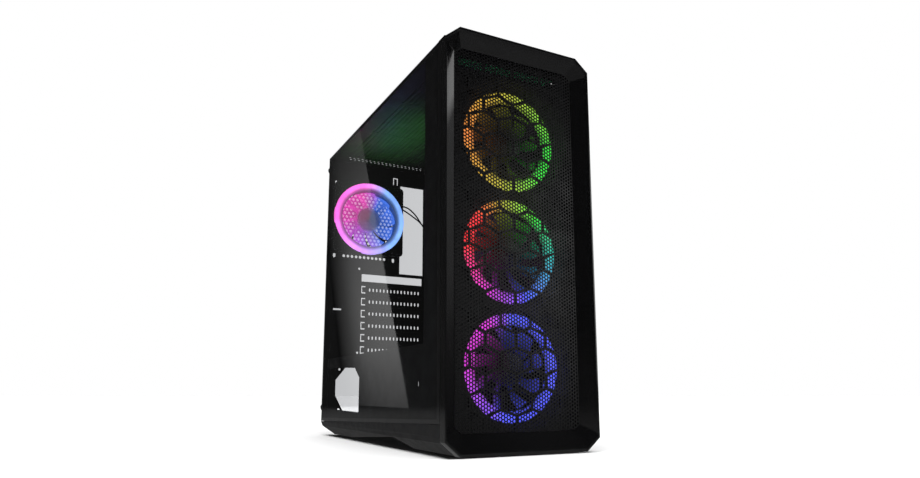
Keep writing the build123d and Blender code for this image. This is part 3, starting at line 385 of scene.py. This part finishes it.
def clear_glass():
    """Tempered panel: what is behind shows straight through, and the front surface reflects."""
    material = new_material("clear_panel_glass")
    tree = material.node_tree
    clear = tree.nodes.new("ShaderNodeBsdfTransparent")
    clear.inputs["Color"].default_value = (0.83, 0.835, 0.845, 1.0)
    mirror = tree.nodes.new("ShaderNodeBsdfGlossy")
    mirror.inputs["Color"].default_value = (1.0, 1.0, 1.0, 1.0)
    fresnel = tree.nodes.new("ShaderNodeFresnel")
    fresnel.inputs["IOR"].default_value = 1.62
    facing = tree.nodes.new("ShaderNodeNewGeometry")
    front = tree.nodes.new("ShaderNodeMath")
    front.operation = "SUBTRACT"
    front.inputs[0].default_value = 1.0
    tree.links.new(facing.outputs["Backfacing"], front.inputs[1])
    share = tree.nodes.new("ShaderNodeMath")
    share.operation = "MULTIPLY"
    tree.links.new(fresnel.outputs[0], share.inputs[0])
    tree.links.new(front.outputs[0], share.inputs[1])
    mix = tree.nodes.new("ShaderNodeMixShader")
    tree.links.new(share.outputs[0], mix.inputs[0])
    tree.links.new(clear.outputs[0], mix.inputs[1])
    tree.links.new(mirror.outputs[0], mix.inputs[2])
    # faint wipe marks change only how sharp the reflection is
    place = tree.nodes.new("ShaderNodeTexCoord")
    smear = tree.nodes.new("ShaderNodeTexNoise")
    smear.inputs["Scale"].default_value = 14
    smear.inputs["Detail"].default_value = 5
    tree.links.new(place.outputs["Object"], smear.inputs["Vector"])
    sharp = tree.nodes.new("ShaderNodeMapRange")
    sharp.inputs["From Min"].default_value = 0.3
    sharp.inputs["From Max"].default_value = 0.7
    sharp.inputs["To Min"].default_value = 0.0
    sharp.inputs["To Max"].default_value = 0.03
    tree.links.new(smear.outputs["Fac"], sharp.inputs["Value"])
    tree.links.new(sharp.outputs[0], mirror.inputs["Roughness"])
    output = tree.nodes.new("ShaderNodeOutputMaterial")
    tree.links.new(mix.outputs[0], output.inputs["Surface"])
    return material


# the lamps' colours, and where each sits round a fan: degrees anticlockwise from the right, seen from the
# front. Every fan has one at the left, 180, where the gradient that carries them starts and ends.
LAMP_COLORS = {
    "green": (0.06, 0.60, 0.07), "olive": (0.40, 0.40, 0.06), "orange": (0.70, 0.26, 0.07),
    "red": (0.80, 0.06, 0.07), "magenta": (0.56, 0.06, 0.55), "blue": (0.12, 0.14, 0.82),
    "teal": (0.05, 0.42, 0.38), "pink": (1.00, 0.14, 0.70), "lilac": (0.80, 0.24, 1.00),
    "azure": (0.22, 0.42, 1.00),
}
LAMPS_ROUND = {
    "upper_fan": ((0, "green"), (90, "olive"), (180, "orange"), (260, "olive"), (320, "green")),
    "middle_fan": ((0, "teal"), (50, "green"), (100, "olive"), (140, "red"), (180, "red"),
                   (240, "magenta"), (290, "blue")),
    "lower_fan": ((0, "blue"), (90, "blue"), (120, "magenta"), (180, "magenta"), (260, "blue")),
    "rear_fan": ((0, "azure"), (60, "azure"), (100, "pink"), (180, "pink"), (240, "lilac"), (310, "azure")),
}


def around_axis(finish, fan):
    """Socket with the place across the fan, measured from its axis."""
    axis = fan_axis(fan)
    apart = finish.node("ShaderNodeSeparateXYZ")
    finish.link(finish.place, apart.inputs[0])
    turned = finish.node("ShaderNodeCombineXYZ")
    for source, target, middle in (("X", "X", axis.x), ("Z", "Y", axis.z)):
        away = finish.node("ShaderNodeMath", operation="SUBTRACT")
        finish.link(apart.outputs[source], away.inputs[0])
        away.inputs[1].default_value = middle
        finish.link(away.outputs[0], turned.inputs[target])
    return turned.outputs[0]


def by_radius(finish, fan, stops_mm):
    """Socket with a level by distance from the fan's axis, from (radius, level) pairs."""
    length = finish.node("ShaderNodeVectorMath", operation="LENGTH")
    finish.link(around_axis(finish, fan), length.inputs[0])
    value = length.outputs["Value"]
    reach = stops_mm[-1][0]
    share = finish.span(value, 0.0, 1.0, 0.0, reach * MM)
    return finish.ramp(share, [(r / reach, (v, v, v)) for r, v in stops_mm])


def hue_round(finish, fan, richness):
    """Socket that gives the fan's light colour by angle about its axis. More richness, deeper colours."""
    angle = finish.node("ShaderNodeTexGradient", gradient_type="RADIAL")
    finish.link(around_axis(finish, fan), angle.inputs[0])
    stops = sorted(((degrees / 360 + 0.5) % 1.0, tuple(channel ** richness for channel in LAMP_COLORS[color]))
                   for degrees, color in LAMPS_ROUND[fan])
    stops.append((1.0, stops[0][1]))
    return finish.ramp(angle.outputs["Fac"], stops)


def lit_diffuser(fan, strength):
    """Frosted ring with light inside: brightest at its middle, a little uneven between its lamps."""
    finish = Finish(f"lit_diffuser_{fan}", (0.05, 0.05, 0.055), 0.45)
    finish.link(hue_round(finish, fan, 1.0 if fan == "rear_fan" else 1.25),
                finish.shader.inputs["Emission Color"])
    cloud = finish.span(finish.noise(55, 2), 0.8 * strength, 1.2 * strength, 0.3, 0.7)
    scaled = finish.node("ShaderNodeMath", operation="MULTIPLY")
    finish.link(cloud, scaled.inputs[0])
    profile = ([(48.0, 0.12), (51.5, 0.4), (55.0, 0.95), (59.0, 1.0), (62.0, 0.7)] if fan == "rear_fan" else
               [(48.0, 0.35), (51.0, 0.75), (55.0, 1.0), (59.0, 0.95), (62.0, 0.6)])
    finish.link(by_radius(finish, fan, profile), scaled.inputs[1])
    finish.link(scaled.outputs[0], finish.shader.inputs["Emission Strength"])
    finish.bump(finish.noise(900, 2), 0.03, 0.3)
    return finish.material


def painted_glow_plastic(name, fan, color, alpha, levels_mm):
    """Translucent fan plastic with painted glow: emission in the fan's light colour, stronger near the ring,
    standing in for the ring's light, though the plastic is no lamp.
    """
    finish = Finish(name, color, 0.22, Alpha=alpha)
    finish.link(hue_round(finish, fan, 1.7 if fan == "rear_fan" else 1.25),
                finish.shader.inputs["Emission Color"])
    # painted glow: emission strength set by distance from the fan's axis
    finish.link(by_radius(finish, fan, levels_mm), finish.shader.inputs["Emission Strength"])
    finish.roughness(finish.noise(120, 3), 0.16, 0.32)
    finish.bump(finish.noise(60, 2), 0.1, 0.2)
    return finish.material


def rubber():
    finish = Finish("soft_rubber", (0.012, 0.012, 0.012), 0.75)
    finish.color(finish.noise(80, 4), (0.01, 0.01, 0.01), (0.022, 0.022, 0.021))
    finish.roughness(finish.noise(200, 3), 0.66, 0.85)
    finish.bump(finish.noise(1800, 3), 0.05, 0.4)
    return finish.material


def plated(name, dark, light, rough=(0.2, 0.34)):
    """Bare or plated metal with drawing marks."""
    finish = Finish(name, dark, rough[0], 1.0)
    finish.color(finish.noise(150, 4), dark, light)
    finish.roughness(finish.noise(400, 4), *rough)
    finish.bump(finish.noise(1200, 2, finish.stretched((1.0, 1.0, 0.15))), 0.02, 0.4)
    return finish.material


def wound_copper():
    finish = Finish("wound_copper", (0.55, 0.22, 0.08), 0.3, 0.9)
    rings = finish.node("ShaderNodeTexWave", wave_type="BANDS", bands_direction="Y")
    rings.inputs["Scale"].default_value = 900
    finish.link(finish.place, rings.inputs["Vector"])
    finish.color(rings.outputs["Fac"], (0.28, 0.09, 0.03), (0.62, 0.26, 0.1), 0.2, 0.8)
    finish.bump(rings.outputs["Fac"], 0.15, 0.6)
    finish.roughness(finish.noise(500, 3), 0.25, 0.4)
    return finish.material


def circuit_board():
    """Solder mask with tracks showing through it."""
    finish = Finish("solder_mask", (0.01, 0.09, 0.035), 0.3)
    tracks = finish.node("ShaderNodeTexBrick")
    tracks.inputs["Scale"].default_value = 260
    tracks.inputs["Mortar Size"].default_value = 0.06
    tracks.inputs["Color1"].default_value = (0.008, 0.07, 0.028, 1.0)
    tracks.inputs["Color2"].default_value = (0.012, 0.11, 0.045, 1.0)
    tracks.inputs["Mortar"].default_value = (0.03, 0.2, 0.09, 1.0)
    finish.link(finish.place, tracks.inputs["Vector"])
    finish.link(tracks.outputs["Color"], finish.shader.inputs["Base Color"])
    finish.bump(tracks.outputs["Fac"], 0.03, 0.5)
    finish.roughness(finish.noise(300, 3), 0.24, 0.4)
    return finish.material


MATERIALS = {
    "black_steel": powder_coat("black_powder_coat", (0.008, 0.008, 0.009), (0.012, 0.012, 0.013)),
    "gloss_black": piano_black(),
    "mesh_steel": mesh_steel(),
    "satin_black": moulded("satin_black_plastic", (0.010, 0.010, 0.011), (0.016, 0.016, 0.017)),
    "green_board": circuit_board(),
    "switch_grey": moulded("switch_plastic", (0.26, 0.26, 0.28), (0.34, 0.34, 0.36)),
    "bright_shell": plated("plated_shell", (0.55, 0.55, 0.57), (0.68, 0.68, 0.7)),
    "clear_glass": clear_glass(),
    "black_screw": plated("black_oxide", (0.03, 0.03, 0.032), (0.06, 0.06, 0.064), (0.3, 0.45)),
    "brass_standoff": plated("turned_brass", (0.62, 0.42, 0.16), (0.74, 0.54, 0.24)),
    "black_rubber": rubber(),
    "net": moulded("woven_net", (0.012, 0.012, 0.013), (0.022, 0.022, 0.023), (0.5, 0.65)),
    "print": moulded("ceramic_print", (0.0025, 0.0025, 0.003), (0.004, 0.004, 0.0045), (0.3, 0.4), 0.01),
    "socket_blue": moulded("socket_plastic", (0.012, 0.05, 0.22), (0.018, 0.07, 0.28)),
    "copper_stator": wound_copper(),
}

# how strong the painted glow on each front fan's blades is; the blades are no lamps
PAINTED_BLADE_GLOW = {"lower_fan": 1.6, "middle_fan": 1.15, "upper_fan": 0.8}
SMOKED = (0.02, 0.02, 0.022)
for fan, glow in PAINTED_BLADE_GLOW.items():
    place = fan.split("_")[0]
    MATERIALS[f"diffuser_{place}"] = lit_diffuser(fan, 1.7)
    MATERIALS[f"{fan}_blades"] = painted_glow_plastic(f"smoked_blade_plastic_{place}", fan, SMOKED, 0.9, [
        (20.0, 0.05 * glow), (34.0, 0.14 * glow), (48.0, 0.36 * glow)])
    # a faint painted glow on each front fan's hub
    MATERIALS[f"{fan}_hub"] = painted_glow_plastic(f"smoked_hub_plastic_{place}", fan, SMOKED, 0.95, [
        (0.0, 0.012), (16.0, 0.02), (21.0, 0.05)])
MATERIALS["diffuser_rear"] = lit_diffuser("rear_fan", 2.4)
# painted glow on the rear fan's clear blades, stronger towards the ring
MATERIALS["rear_fan_blades"] = painted_glow_plastic("clear_blade_plastic", "rear_fan", (0.1, 0.08, 0.16), 0.36, [
    (20.0, 1.0), (35.0, 1.5), (48.0, 2.0)])
# painted glow on the bore of the frame only, though the frame is no lamp
MATERIALS["rear_fan_frame"] = painted_glow_plastic("painted_glow_frame_plastic", "rear_fan", (0.012, 0.012, 0.013), 1.0, [
    (46.0, 0.0), (47.5, 0.45), (50.0, 0.45), (51.0, 0.0), (90.0, 0.0)])
# painted glow on the rear fan's clear hub
MATERIALS["rear_fan_hub"] = painted_glow_plastic("clear_hub_plastic", "rear_fan", (0.5, 0.5, 0.56), 0.55, [
    (0.0, 0.2), (16.0, 0.26), (21.0, 0.42)])



def dress(obj, material):
    obj.data.materials.clear()
    obj.data.materials.append(material)


def soften_edges(obj, width_mm, segments=2):
    """Small rounded edges on a CAD node, by modifiers."""
    weld = obj.modifiers.new("join", "WELD")
    weld.merge_threshold = 1e-6
    bevel = obj.modifiers.new("edges", "BEVEL")
    bevel.width = width_mm * MM
    bevel.segments = segments
    bevel.limit_method = "ANGLE"
    bevel.angle_limit = math.radians(35)
    bevel.use_clamp_overlap = True
    bevel.harden_normals = False


for node_name, node in NODES.items():
    slot = SLOT_OF[node_name]
    fan = next((f for f in FANS if node_name == f"{f}_rotor"), None)
    own = f"{fan}_blades" if fan else node_name
    dress(node, MATERIALS[own if own in MATERIALS else slot])


# ---------------------------------------------------------------- mesh pieces
def new_piece(name, mesh, body, material, stands_for=()):
    """Links a finished mesh as a piece that rides on a body and may stand for CAD nodes."""
    obj = bpy.data.objects.new(name, mesh)
    bpy.context.scene.collection.objects.link(obj)
    dress(obj, material)
    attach(obj, body)
    if stands_for:
        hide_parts(*stands_for)
    return obj


def finish_shape(shape, name, smooth=True):
    """Mesh from a finished bmesh, with its faces turned outwards."""
    for face in shape.faces:
        face.smooth = smooth
    bmesh.ops.recalc_face_normals(shape, faces=shape.faces)
    mesh = bpy.data.meshes.new(name)
    shape.to_mesh(mesh)
    shape.free()
    return mesh


def perforated_rows(low, high, pitch, hole_r, rows):
    """Points and faces of a sheet in the XZ plane with staggered hexagonal holes, for a range of rows.
    Each hole sits in a six-sided cell; neighbouring cells share their corners."""
    column_step = pitch * math.sqrt(3) / 2
    columns = int((high.x - low.x) / column_step)
    left = (low.x + high.x - (columns - 1) * column_step) / 2
    cell_r = pitch / math.sqrt(3)
    points, index, faces = [], {}, []

    def point(x, z):
        key = (round(x * 1e6), round(z * 1e6))
        if key not in index:
            index[key] = len(points)
            points.append((x, 0.0, z))
        return index[key]

    turns = [math.radians(60 * k) for k in range(6)]
    for column in range(columns):
        x = left + column * column_step
        for row in rows:
            z = low.z + pitch * (row + 0.75 + (0.5 if column % 2 else 0.0))
            if z + cell_r > high.z:
                continue
            outer = [point(x + cell_r * math.cos(t), z + cell_r * math.sin(t)) for t in turns]
            inner = [point(x + hole_r * math.cos(t), z + hole_r * math.sin(t)) for t in turns]
            for k in range(6):
                n = (k + 1) % 6
                faces.append((outer[k], outer[n], inner[n], inner[k]))
    return points, faces


def make_front_mesh():
    low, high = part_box("front_mesh")
    pitch, hole_r = 4.1 * MM, 1.6 * MM
    total = int((high.z - low.z) / pitch)
    third = total // 3
    for name, rows in (("lower", range(0, third)), ("middle", range(third, 2 * third)),
                       ("upper", range(2 * third, total))):
        points, faces = perforated_rows(low, high, pitch, hole_r, rows)
        mesh = bpy.data.meshes.new(f"front_mesh_{name}")
        mesh.from_pydata([(x, low.y, z) for x, y, z in points], [], faces)
        mesh.update()
        obj = new_piece(f"front_mesh_{name}", mesh, "bezel", MATERIALS["mesh_steel"],
                        ("front_mesh",))
        thick = obj.modifiers.new("sheet", "SOLIDIFY")
        thick.thickness = high.y - low.y
        thick.offset = -1.0


def lathe(shape, x, z, rings, sides):
    """Solid of revolution about a line along Y. A ring is (radius, y); a radius may be a function of the
    angle, and radius 0 closes the end."""
    loops = []
    for radius, y in rings:
        if radius == 0:
            loops.append([shape.verts.new((x, y, z))])
            continue
        loop = []
        for k in range(sides):
            angle = 2 * math.pi * k / sides
            reach = radius(angle) if callable(radius) else radius
            loop.append(shape.verts.new((x + reach * math.cos(angle), y, z + reach * math.sin(angle))))
        loops.append(loop)
    for first, second in zip(loops, loops[1:]):
        for k in range(sides):
            n = (k + 1) % sides
            if len(first) == 1:
                shape.faces.new((first[0], second[n], second[k]))
            elif len(second) == 1:
                shape.faces.new((first[k], first[n], second[0]))
            else:
                shape.faces.new((first[k], first[n], second[n], second[k]))


def make_rotor(fan):
    """Domed hub, and nine swept, twisted blades as a second piece, inside the CAD rotor's box."""
    node = f"{fan}_rotor"
    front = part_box(node)[0].y
    axis = fan_axis(fan)
    hub_r, tip_r, blades = 20.5 * MM, 47.6 * MM, 9

    # hub: lathed cup with a domed, rounded front
    shape = bmesh.new()
    wall, hub_back, floor = hub_r - 1.6 * MM, front + 15.0 * MM, front + 4.0 * MM
    lathe(shape, axis.x, axis.z, [
        (0, front), (9.0 * MM, front + 0.05 * MM), (15.0 * MM, front + 0.25 * MM),
        (18.4 * MM, front + 0.7 * MM), (19.8 * MM, front + 1.5 * MM), (hub_r, front + 3.0 * MM),
        (hub_r, hub_back), (wall, hub_back), (wall, floor), (0, floor)], 64)
    hub = finish_shape(shape, f"{fan}_hub")
    new_piece(f"{fan}_hub", hub, f"{fan}_impeller", MATERIALS[f"{fan}_hub"], (node,))

    # blades: a cambered sheet with thickness, swept back towards the tip
    shape = bmesh.new()
    span_steps, chord_steps = 10, 12
    width = 1.6 if fan == "rear_fan" else 1.0
    middle_y = front + 9.0 * MM
    for blade in range(blades):
        start = 2 * math.pi * blade / blades
        skins = {1: [], -1: []}
        for s in range(span_steps + 1):
            t = s / span_steps
            radius = (hub_r - 0.6 * MM) + t * (tip_r - hub_r + 0.6 * MM)
            reach = (14.0 + 8.5 * t - 3.0 * t ** 4) * width * MM
            pitch = math.radians(44.0 - 20.0 * t) / width ** 0.5
            sweep = math.radians(16.0) * t ** 1.4
            rows = {1: [], -1: []}
            for c in range(chord_steps + 1):
                u = c / chord_steps - 0.5
                camber = (0.25 - u * u) * 3.2 * MM
                along = u * reach
                y = middle_y + along * math.sin(pitch) - camber * math.cos(pitch)
                around = along * math.cos(pitch) + camber * math.sin(pitch)
                angle = start + sweep + around / radius
                thick = (0.22 + 1.25 * math.sqrt(max(0.0, 1 - (2 * u) ** 2))) * 0.5 * MM
                for side in (1, -1):
                    rows[side].append(shape.verts.new((
                        axis.x + radius * math.cos(angle - side * thick * math.sin(pitch) / radius),
                        y + side * thick * math.cos(pitch),
                        axis.z + radius * math.sin(angle - side * thick * math.sin(pitch) / radius))))
            for side in (1, -1):
                skins[side].append(rows[side])
        for side in (1, -1):
            grid = skins[side]
            for s in range(span_steps):
                for c in range(chord_steps):
                    quad = (grid[s][c], grid[s][c + 1], grid[s + 1][c + 1], grid[s + 1][c])
                    shape.faces.new(quad if side == 1 else quad[::-1])
        rim, under = (
            skin[0] + [row[-1] for row in skin[1:]] + skin[-1][-2::-1] + [row[0] for row in skin[-2:0:-1]]
            for skin in (skins[1], skins[-1]))
        for k in range(len(rim)):
            n = (k + 1) % len(rim)
            shape.faces.new((rim[n], rim[k], under[k], under[n]))
    blade_mesh = finish_shape(shape, f"{fan}_blades")
    new_piece(f"{fan}_blades", blade_mesh, f"{fan}_impeller", MATERIALS[f"{fan}_blades"], (node,))


def cross_recess(arm, half_width):
    """Radius of a plus-shaped outline by angle."""
    def reach(angle):
        turned = abs((angle + math.pi / 4) % (math.pi / 2) - math.pi / 4)
        return min(arm / math.cos(turned), half_width / max(math.sin(turned), 1e-6))
    return reach


def knurl(radius, teeth, depth):
    """Radius of a toothed grip by angle."""
    def reach(angle):
        return radius - depth * (0.5 - 0.5 * math.cos(teeth * angle))
    return reach


def make_thumbscrew(node, body):
    """Knurled head with rolled rims and a cross recess in its end, on a plain shank."""
    low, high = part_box(node)
    x, z = (low.x + high.x) / 2, (low.z + high.z) / 2
    outer = (high.x - low.x) / 2
    end, start = high.y, high.y - 10.8 * MM
    grip = knurl(outer, 30, 0.45 * MM)
    slot = cross_recess(2.6 * MM, 0.55 * MM)
    shape = bmesh.new()
    lathe(shape, x, z, [
        (0, low.y), (1.7 * MM, low.y), (1.7 * MM, start), (outer - 1.6 * MM, start),
        (outer - 0.9 * MM, start + 0.3 * MM), (outer - 0.8 * MM, start + 1.4 * MM),
        (grip, start + 1.9 * MM), (grip, end - 1.9 * MM), (outer - 0.7 * MM, end - 1.3 * MM),
        (outer - 0.8 * MM, end - 0.5 * MM), (outer - 1.4 * MM, end), (slot, end - 0.02 * MM),
        (cross_recess(2.1 * MM, 0.35 * MM), end - 2.2 * MM), (0, end - 2.6 * MM)], 120)
    mesh = finish_shape(shape, f"{node}_knurled", smooth=False)
    new_piece(f"{node}_knurled", mesh, body, MATERIALS["black_screw"], (node,))


def make_fan_screws():
    """Pan-head screws with cross recesses, at the corners of the four fans."""
    shape = bmesh.new()
    low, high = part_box("fan_screws")
    half_pitch = 52.5 * MM
    slot = cross_recess(1.9 * MM, 0.42 * MM)
    for fan in FANS:
        axis = fan_axis(fan)
        front = fan != "rear_fan"
        top, way = (low.y, 1) if front else (high.y, -1)
        for side in (-1, 1):
            for end in (-1, 1):
                lathe(shape, axis.x + side * half_pitch, axis.z + end * half_pitch, [
                    (0, top + way * 1.3 * MM), (cross_recess(1.5 * MM, 0.3 * MM), top + way * 1.2 * MM),
                    (slot, top + way * 0.06 * MM), (2.3 * MM, top + way * 0.1 * MM),
                    (3.1 * MM, top + way * 0.5 * MM), (3.6 * MM, top + way * 1.2 * MM),
                    (3.6 * MM, top + way * 2.2 * MM), (1.9 * MM, top + way * 2.2 * MM),
                    (1.9 * MM, top + way * 14.0 * MM), (0, top + way * 15.0 * MM)], 48)
    mesh = finish_shape(shape, "fan_screws_recessed", smooth=False)
    new_piece("fan_screws_recessed", mesh, "chassis", MATERIALS["black_screw"],
              ("fan_screws",))


def add_bar(shape, low, high):
    """Box between two corners."""
    corners = [shape.verts.new((x, y, z)) for z in (low[2], high[2]) for y in (low[1], high[1])
               for x in (low[0], high[0])]
    for quad in ((0, 2, 3, 1), (4, 5, 7, 6), (0, 1, 5, 4), (2, 6, 7, 3), (0, 4, 6, 2), (1, 3, 7, 5)):
        shape.faces.new([corners[k] for k in quad])


NET_PITCH, NET_THREAD = 2.0 * MM, 0.42 * MM


def make_net(name, body, x_range, y_range, z):
    """Woven net: threads both ways, one set half a thread above the other."""
    shape = bmesh.new()
    thick = NET_THREAD
    for along, (low, high), (start, end), lift in (
            ("x", x_range, y_range, 0.0), ("y", y_range, x_range, 0.5)):
        count = int((high - low) / NET_PITCH)
        step = (high - low) / count
        for i in range(1, count):
            middle = low + i * step
            bottom = z + lift * thick
            if along == "x":
                add_bar(shape, (middle - thick / 2, start, bottom), (middle + thick / 2, end, bottom + thick))
            else:
                add_bar(shape, (start, middle - thick / 2, bottom), (end, middle + thick / 2, bottom + thick))
    mesh = finish_shape(shape, name, smooth=False)
    new_piece(name, mesh, body, MATERIALS["net"])


def make_filter_nets():
    low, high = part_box("top_filter")
    rim = 6.0 * MM
    make_net("top_filter_net", "roof_filter", (low.x + rim, high.x - rim), (low.y + rim, high.y - rim),
             low.z + 0.8 * MM)
    low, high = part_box("psu_filter")
    for across, x_range in (("left", (-56.0 * MM, -2.0 * MM)), ("right", (2.0 * MM, 56.0 * MM))):
        for along, first, last in (("front", 6.0, 70.0), ("rear", 76.0, 144.0)):
            make_net(f"psu_filter_net_{across}_{along}", "supply_filter", x_range,
                     (low.y + first * MM, low.y + last * MM), low.z + 0.7 * MM)


def make_glass_print():
    """Black border printed on the clear panel: flat bands just under its outer face, mitred at the corners
    of the panel's four-sided outline."""
    low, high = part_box("glass_panel")
    flange_low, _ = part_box("glass_flange")
    front, rear = low.y + 0.2 * MM, high.y - 0.2 * MM
    top = high.z - 0.2 * MM
    outer = [(front, 34.5 * MM), (rear, flange_low.z + 0.2 * MM), (rear, top), (front, top)]
    inner = [(front + 7.0 * MM, 39.0 * MM), (rear - 3.0 * MM, flange_low.z + 5.0 * MM),
             (rear - 3.0 * MM, top - 6.0 * MM), (front + 7.0 * MM, top - 6.0 * MM)]
    shape = bmesh.new()
    rings = [[shape.verts.new((x, y, z)) for y, z in outline]
             for x, outline in ((low.x + 0.15 * MM, outer), (low.x + 0.15 * MM, inner),
                                (low.x + 0.3 * MM, inner), (low.x + 0.3 * MM, outer))]
    for first, second in zip(rings, rings[1:] + rings[:1]):
        for k in range(4):
            n = (k + 1) % 4
            shape.faces.new((first[k], first[n], second[n], second[k]))
    mesh = finish_shape(shape, "glass_print", smooth=False)
    new_piece("glass_print", mesh, "glass_side", MATERIALS["print"])


def make_usb_tongues():
    """Contact tongues of the two USB sockets, with four gold contacts each."""
    low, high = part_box("usb_sockets")
    y = (low.y + high.y) / 2
    tongue, contacts = bmesh.new(), bmesh.new()
    for x in (low.x + 7.0 * MM, high.x - 7.0 * MM):
        add_bar(tongue, (x - 5.6 * MM, y - 2.0 * MM, low.z + 3.0 * MM),
                (x + 5.6 * MM, y - 0.2 * MM, high.z - 1.2 * MM))
        for k in (-3.5, -1.1, 1.1, 3.5):
            add_bar(contacts, (x + (k - 0.5) * MM, y - 0.2 * MM, low.z + 6.0 * MM),
                    (x + (k + 0.5) * MM, y - 0.05 * MM, high.z - 2.0 * MM))
    new_piece("usb_tongues", finish_shape(tongue, "usb_tongues", False), "bezel",
              MATERIALS["socket_blue"])
    new_piece("usb_contacts", finish_shape(contacts, "usb_contacts", False), "bezel",
              MATERIALS["brass_standoff"])


def add_cards():
    # the pale wall that the clear panel mirrors: a straight leaning near edge, a soft far side
    wall_x = -1.0
    heights = (1.75, 1.35, 0.95, 0.55, 0.3, 0.0, -0.12)
    add_card("wall_card", [(wall_x, 2.93 + 0.45 * z, z) for z in heights],
             [(wall_x, 1.98 + 0.49 * z, z) for z in heights],
             0.62, (0.0, 0.25, 0.65, 0.85, 1.0), (0.1, 0.3, 0.62, 0.95, 1.0, 0.4, 0.3))
    # a thin card in the recess, mirrored only by the bezel's left slope
    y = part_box("front_mesh")[0].y - 0.4 * MM
    heights = (0.03, 0.12, 0.2, 0.38, 0.405, 0.455)
    add_card("slope_card", [(-0.076, y, z) for z in heights], [(0.0, y, z) for z in heights],
             0.75, (1.0, 1.0), (0.02, 0.05, 0.14, 0.2, 1.0, 1.0), one_sided=True)
    # a card ahead on the right, mirrored by the bezel's narrow front rim and faintly by the mesh
    heights = (0.1, 0.4, 0.7, 0.95, 1.25)
    add_card("rim_card", [(0.9, -1.9, z) for z in heights], [(2.0, -1.9, z) for z in heights],
             2.6, (0.3, 1.0, 1.0), (0.5, 0.8, 1.0, 0.9, 0.0))


def add_lamps():
    add_roof_glow((0.16, 0.9, 0.12), 0.45)
    add_sun("overhead", (0.12, 0.18, -1.0), 4.1, 50)
    add_softbox("right_strip", (1.3, -1.0, 0.45), (0.0, 0.0, 0.25), (0.5, 1.4), 14)
    add_softbox("front_fill", (-0.2, -2.6, 1.7), (0.0, 0.0, 0.25), (1.6, 1.0), 10)
    add_softbox("back_fill", (0.7, 2.0, 1.1), (0.0, 0.1, 0.25), (1.2, 1.2), 14)


make_camera()
make_world()
make_floor()
add_cards()
add_lamps()
make_front_mesh()
for side in ("glass", "right"):
    for level in ("lower", "upper"):
        make_thumbscrew(f"{side}_thumbscrew_{level}", f"{side}_screw_{level}")
make_fan_screws()
make_filter_nets()
make_glass_print()
make_usb_tongues()
for name, width in (("front_bezel", 0.7), ("base_rail_left", 0.6), ("base_rail_right", 0.6),
                    ("foot_pads", 0.3), ("psu_pads", 0.4), ("cable_grommets", 0.35),
                    ("fan_controller", 0.4), ("usb_sockets", 0.12), ("input_switches", 0.25),
                    ("slot_covers", 0.12), ("glass_flange", 0.3)):
    soften_edges(NODES[name], width)
for fan in FANS:
    make_rotor(fan)

bpy.context.scene.view_settings.view_transform = "Standard"
